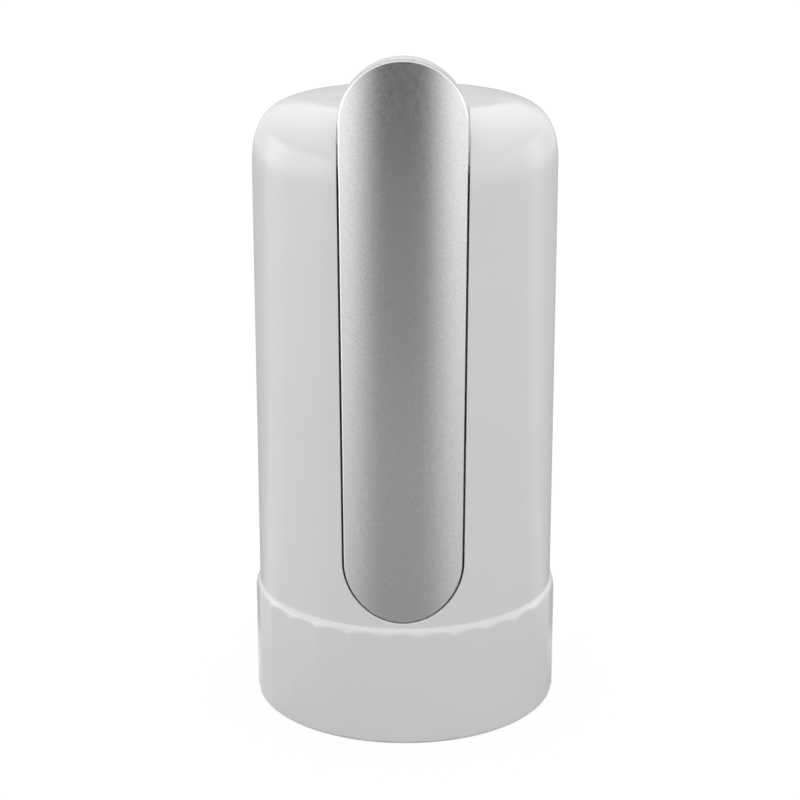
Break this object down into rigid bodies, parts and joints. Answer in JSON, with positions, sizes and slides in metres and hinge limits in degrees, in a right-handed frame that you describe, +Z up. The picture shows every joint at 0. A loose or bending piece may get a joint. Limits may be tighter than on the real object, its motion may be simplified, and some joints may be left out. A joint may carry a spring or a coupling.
{
  "type": "electric water jug pump",
  "caption": "Cylindrical battery pump for a large water jug, with a faceted skirt that grips the neck, a fold-out spout arm in a slot, and a push button on top.",
  "frame": {"origin": "on the body's axis, at the foot of the skirt", "axes": "+Z up along the body; the folded spout arm faces -Y; +X to the right seen from the front"},
  "size_m": [0.0726, 0.0726, 0.1569],
  "materials": {
    "white_shell": "satin white moulding",
    "white_arm": "satin white moulding",
    "white_inner": "plain white moulding",
    "silver_cover": "satin silver",
    "button_white": "satin white",
    "light_guide": "milky light guide",
    "grip_silicone": "milky soft silicone",
    "hose_silicone": "soft silicone",
    "rubber_black": "black rubber",
    "frame_grey": "plain grey moulding",
    "black_plastic": "plain black moulding",
    "steel": "bright steel",
    "screws": "plated steel",
    "brass_terminals": "bright brass",
    "battery_wrap": "shrink wrap",
    "board_green": "solder mask"
  },
  "bodies": {
    "pump_body_group": {"main_shell": "white_shell", "base_chassis": "white_inner", "neck_grip_ring": "grip_silicone", "inlet_nipple": "white_inner", "inlet_washer": "rubber_black", "inlet_nut": "white_inner", "inner_frame": "frame_grey", "motor_can": "steel", "motor_end_cap": "black_plastic", "motor_terminal_1": "brass_terminals", "motor_terminal_2": "brass_terminals", "pump_body": "black_plastic", "pump_yoke": "white_inner", "pump_diaphragm": "rubber_black", "pump_valve_plate": "white_inner", "pump_head_cover": "black_plastic", "suction_tube": "hose_silicone", "delivery_tube": "hose_silicone", "hinge_manifold": "white_inner", "manifold_nut": "black_plastic", "battery_cell": "battery_wrap", "battery_terminal": "steel", "control_board": "board_green", "board_chip": "black_plastic", "board_inductor": "rubber_black", "board_capacitor": "steel", "charge_board": "board_green", "usb_socket": "steel", "switch_board": "board_green", "tact_switch": "black_plastic", "indicator_led": "light_guide", "light_ring": "light_guide", "chassis_screw_1": "screws", "chassis_screw_2": "screws", "chassis_screw_3": "screws", "chassis_screw_4": "screws", "frame_screw_1": "screws", "frame_screw_2": "screws", "frame_screw_3": "screws", "pump_screw_1": "screws", "pump_screw_2": "screws", "pump_screw_3": "screws", "board_screw_1": "screws", "board_screw_2": "screws", "switch_screw_1": "screws", "switch_screw_2": "screws"},
    "spout_arm": {"spout_cover": "silver_cover", "spout_housing": "white_arm", "spout_tube": "hose_silicone", "spout_nozzle": "steel", "hinge_journal": "steel", "pivot_pin": "steel", "spout_screw_1": "screws", "spout_screw_2": "screws"},
    "button": {"power_button": "button_white", "tact_plunger": "black_plastic"},
    "rotor": {"motor_shaft": "steel", "motor_armature": "steel", "pump_eccentric": "black_plastic"}
  },
  "joints": [
    {"name": "spout_fold", "type": "hinge", "parent": "pump_body_group", "child": "spout_arm", "pos_m": [0, -0.0241, 0.1331], "axis": [-1, 0, 0], "range_deg": [0, 90]},
    {"name": "button_press", "type": "slide", "parent": "pump_body_group", "child": "button", "axis": [0, 0, -1], "range_m": [0, 0.0008], "stiffness_N_per_m": 1500, "springref_m": -0.0005},
    {"name": "motor_spin", "type": "hinge", "parent": "pump_body_group", "child": "rotor", "pos_m": [-0.0135, 0.005, 0.06], "axis": [0, 0, 1], "continuous": true}
  ]
}
